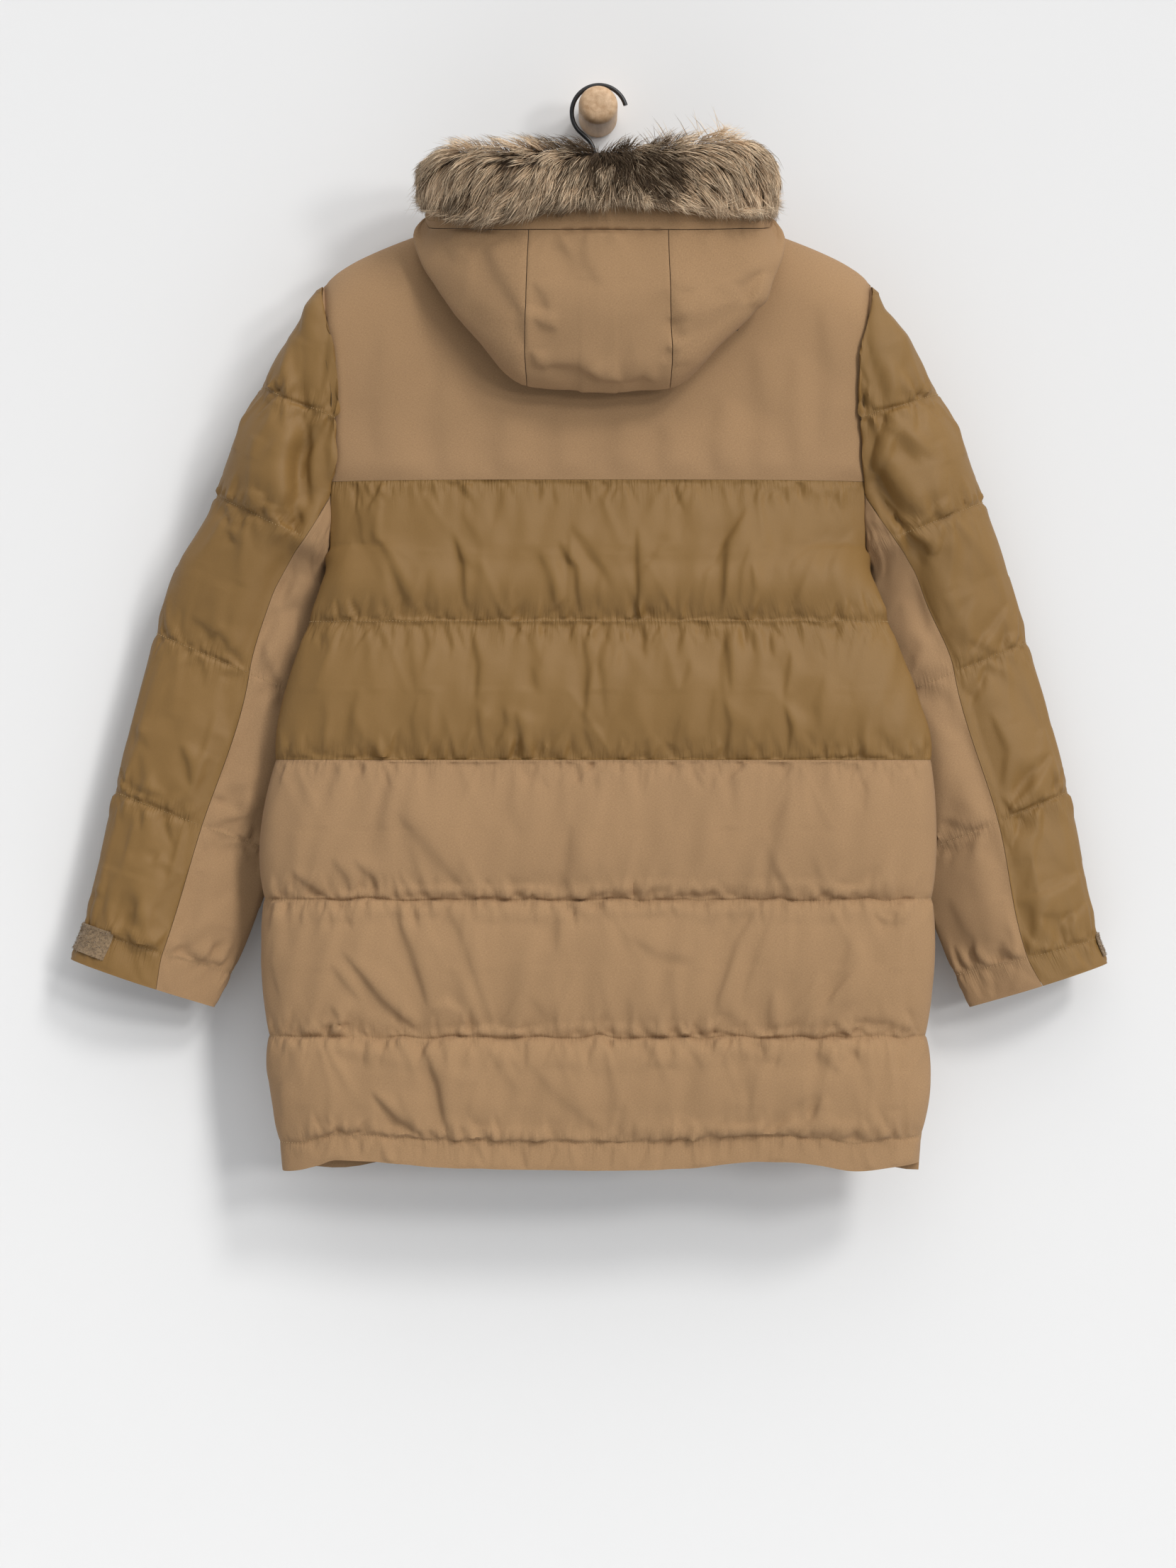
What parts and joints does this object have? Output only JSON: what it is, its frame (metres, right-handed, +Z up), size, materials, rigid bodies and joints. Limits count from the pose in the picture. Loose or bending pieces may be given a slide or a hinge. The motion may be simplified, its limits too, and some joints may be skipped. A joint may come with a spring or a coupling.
{
  "type": "hooded winter parka on a hanger",
  "caption": "Quilted hooded parka with a fur ruff, hanging back outwards from a wire hook over a wooden wall peg.",
  "frame": {"origin": "middle of the flat back face of the wall peg, on the wall", "axes": "+X the wearer's right as the back is seen, +Y into the wall, +Z up; the back of the parka faces -Y"},
  "size_m": [1.0292, 0.212, 1.066],
  "materials": {
    "tan_cloth": "matte heathered weave",
    "olive_cloth": "smooth satin nylon",
    "fur": "long dark-rooted fur with pale tips",
    "loop_pile": "fuzzy loop pile",
    "zip_tape": "woven tape",
    "dark_metal": "dark lacquer",
    "hook_wire": "black, satin",
    "bar_plastic": "matt black",
    "peg_wood": "pale, sanded"
  },
  "bodies": {
    "root": {"back_lower": "tan_cloth", "back_middle": "olive_cloth", "back_yoke": "tan_cloth", "collar": "tan_cloth", "cuff_patch_left": "loop_pile", "cuff_patch_right": "loop_pile", "front_lower_left": "tan_cloth", "front_lower_right": "tan_cloth", "front_middle_left": "olive_cloth", "front_middle_right": "olive_cloth", "front_yoke_left": "tan_cloth", "front_yoke_right": "tan_cloth", "fur_trim": "fur", "hanger_bar": "bar_plastic", "hanger_hook": "hook_wire", "hood_brim": "tan_cloth", "hood_centre": "tan_cloth", "hood_side_left": "tan_cloth", "hood_side_right": "tan_cloth", "sleeve_under_left": "tan_cloth", "sleeve_under_right": "tan_cloth", "sleeve_upper_left": "olive_cloth", "sleeve_upper_right": "olive_cloth", "wall_peg": "peg_wood", "zip_slider": "dark_metal", "zip_tape_left": "zip_tape", "zip_tape_right": "zip_tape"},
    "pull": {"zip_pull": "dark_metal"}
  },
  "joints": [
    {"name": "pull_swing", "type": "hinge", "parent": "root", "child": "pull", "pos_m": [0, -0.0238, -0.157], "axis": [1, 0, 0], "range_deg": [0, 45]}
  ]
}
